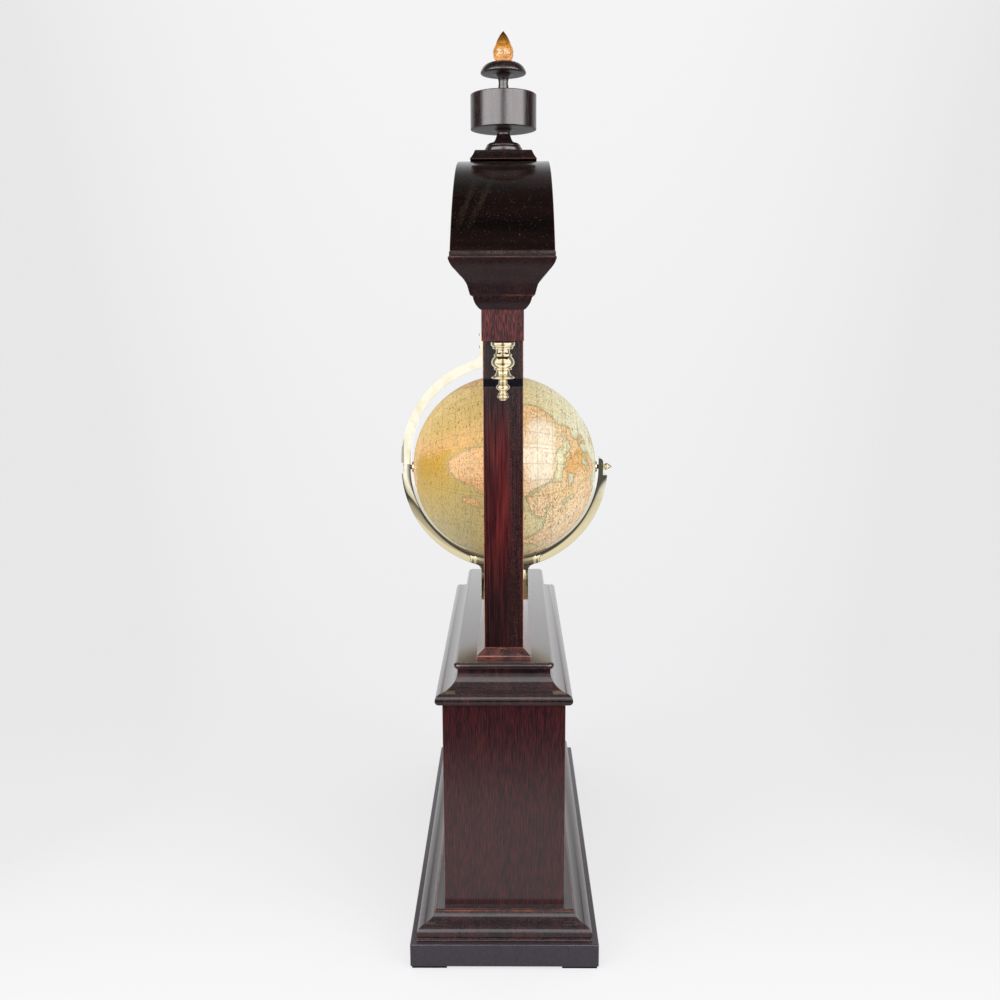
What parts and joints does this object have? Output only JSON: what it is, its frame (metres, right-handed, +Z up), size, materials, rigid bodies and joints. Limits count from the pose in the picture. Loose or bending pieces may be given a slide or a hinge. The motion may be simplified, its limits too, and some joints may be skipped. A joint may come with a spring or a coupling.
{
  "type": "globe clock",
  "caption": "Architectural mantel clock: an arched hood on two posts over a moulded pedestal, with a terrestrial globe turning in a brass bracket below the movement.",
  "frame": {"origin": "on the ground under the centre of the globe, which is the middle of the base", "axes": "+Z up, -Y the way the dial faces, +X to the right as seen from the dial side; the globe turns on an axis along Y"},
  "size_m": [0.4814, 0.2345, 0.9202],
  "materials": {
    "mahogany": "french polished, worn at the edges",
    "ebonised_wood": "satin black",
    "polished_brass": "polished",
    "steel": "bright",
    "blued_steel": "heat blued",
    "globe_paper": "varnished printed paper over a moulded shell",
    "enamel": "glossy enamel",
    "clear_glass": "clear",
    "amber_glass": "amber, fire polished",
    "rubber": "matt"
  },
  "bodies": {
    "frame": {"base_slab": "ebonised_wood", "base_feet": "ebonised_wood", "base_moulding": "mahogany", "pedestal_boards": "mahogany", "pedestal_cornice": "mahogany", "torus_slab": "mahogany", "plinth_slab": "mahogany", "posts": "mahogany", "post_bands": "ebonised_wood", "beam": "mahogany", "pendants": "polished_brass", "hanger_block": "mahogany", "standing_block": "mahogany", "rear_bracket": "polished_brass", "front_bracket": "polished_brass", "bracket_screws": "steel", "globe_axle": "steel", "acorn_nut": "polished_brass", "cornice_core": "mahogany", "top_cornice": "mahogany", "hood_sill": "mahogany", "hood_front_board": "mahogany", "hood_rear_board": "mahogany", "hood_roof": "mahogany", "door_hinge_fixed": "polished_brass", "finial_plate": "mahogany", "finial_turning": "mahogany", "flame": "amber_glass", "dial": "enamel", "dial_screws": "steel", "bezel_hinge": "polished_brass", "movement_front_plate": "polished_brass", "movement_rear_plate": "polished_brass", "movement_pillars": "polished_brass", "shaft_bushes": "polished_brass"},
    "globe": {"globe_shell": "globe_paper", "pole_bushes": "polished_brass", "equator_ring": "polished_brass"},
    "centre": {"centre_wheel": "polished_brass", "cannon_pinion": "steel", "minute_hand": "blued_steel"},
    "hour": {"hour_wheel": "polished_brass", "hour_hand": "blued_steel"},
    "minute": {"minute_wheel": "polished_brass"},
    "spring_barrel": {"barrel": "polished_brass", "mainspring": "steel"},
    "winder": {"winding_arbor": "steel"},
    "ratchet_click": {"click": "steel"},
    "third": {"third_wheel": "polished_brass"},
    "escape": {"escape_wheel": "polished_brass"},
    "anchor": {"pallets": "steel"},
    "balance": {"balance_wheel": "polished_brass", "balance_spring": "steel"},
    "drive": {"drive_shaft": "steel", "drive_roller": "rubber"},
    "dial_bezel": {"bezel": "polished_brass", "bezel_glass": "clear_glass"},
    "back_door": {"hood_door": "mahogany", "door_hinge_moving": "polished_brass", "door_knob": "polished_brass"}
  },
  "joints": [
    {"name": "minute_spin", "type": "hinge", "parent": "frame", "child": "centre", "pos_m": [0, 0, 0.7336], "axis": [0, 1, 0], "continuous": true},
    {"name": "globe_spin", "type": "hinge", "parent": "frame", "child": "globe", "pos_m": [0, 0, 0.4612], "axis": [0, 1, 0], "continuous": true},
    {"name": "hour_spin", "type": "hinge", "parent": "frame", "child": "hour", "pos_m": [0, 0, 0.7336], "axis": [0, 1, 0], "continuous": true},
    {"name": "minute_wheel_spin", "type": "hinge", "parent": "frame", "child": "minute", "pos_m": [0.01131, 0, 0.74491], "axis": [0, 1, 0], "continuous": true},
    {"name": "barrel_spin", "type": "hinge", "parent": "frame", "child": "spring_barrel", "pos_m": [-0.01973, 0, 0.72642], "axis": [0, 1, 0], "continuous": true},
    {"name": "third_spin", "type": "hinge", "parent": "frame", "child": "third", "pos_m": [0.01559, 0, 0.7246], "axis": [0, 1, 0], "continuous": true},
    {"name": "escape_spin", "type": "hinge", "parent": "frame", "child": "escape", "pos_m": [0.02409, 0, 0.73932], "axis": [0, 1, 0], "continuous": true},
    {"name": "drive_spin", "type": "hinge", "parent": "frame", "child": "drive", "pos_m": [0, 0.00656, 0.4612], "axis": [0, 0, 1], "continuous": true},
    {"name": "winding_turn", "type": "hinge", "parent": "frame", "child": "winder", "pos_m": [-0.01973, 0, 0.72642], "axis": [0, 1, 0], "continuous": true},
    {"name": "click_lift", "type": "hinge", "parent": "frame", "child": "ratchet_click", "pos_m": [-0.01546, 0, 0.71467], "axis": [0, 1, 0], "range_deg": [0, 15]},
    {"name": "pallet_rock", "type": "hinge", "parent": "frame", "child": "anchor", "pos_m": [0.01937, 0, 0.75101], "axis": [0, 1, 0], "range_deg": [-4, 4]},
    {"name": "balance_swing", "type": "hinge", "parent": "frame", "child": "balance", "pos_m": [-0.00231, 0, 0.76], "axis": [0, 1, 0], "range_deg": [-135, 135], "stiffness_Nm_per_rad": 0.00002},
    {"name": "bezel_swing", "type": "hinge", "parent": "frame", "child": "dial_bezel", "pos_m": [-0.0486, -0.0482, 0.7336], "axis": [0, 0, -1], "range_deg": [0, 100]},
    {"name": "door_swing", "type": "hinge", "parent": "frame", "child": "back_door", "pos_m": [-0.06, 0.0481, 0.7336], "axis": [0, 0, 1], "range_deg": [0, 110]}
  ],
  "couplings": [
    {"joint": "minute_spin", "follows": "globe_spin", "ratio": -24},
    {"joint": "hour_spin", "follows": "globe_spin", "ratio": -2},
    {"joint": "minute_wheel_spin", "follows": "globe_spin", "ratio": 8},
    {"joint": "barrel_spin", "follows": "globe_spin", "ratio": 4},
    {"joint": "third_spin", "follows": "globe_spin", "ratio": 192},
    {"joint": "escape_spin", "follows": "globe_spin", "ratio": -1440},
    {"joint": "drive_spin", "follows": "globe_spin", "ratio": 24}
  ]
}
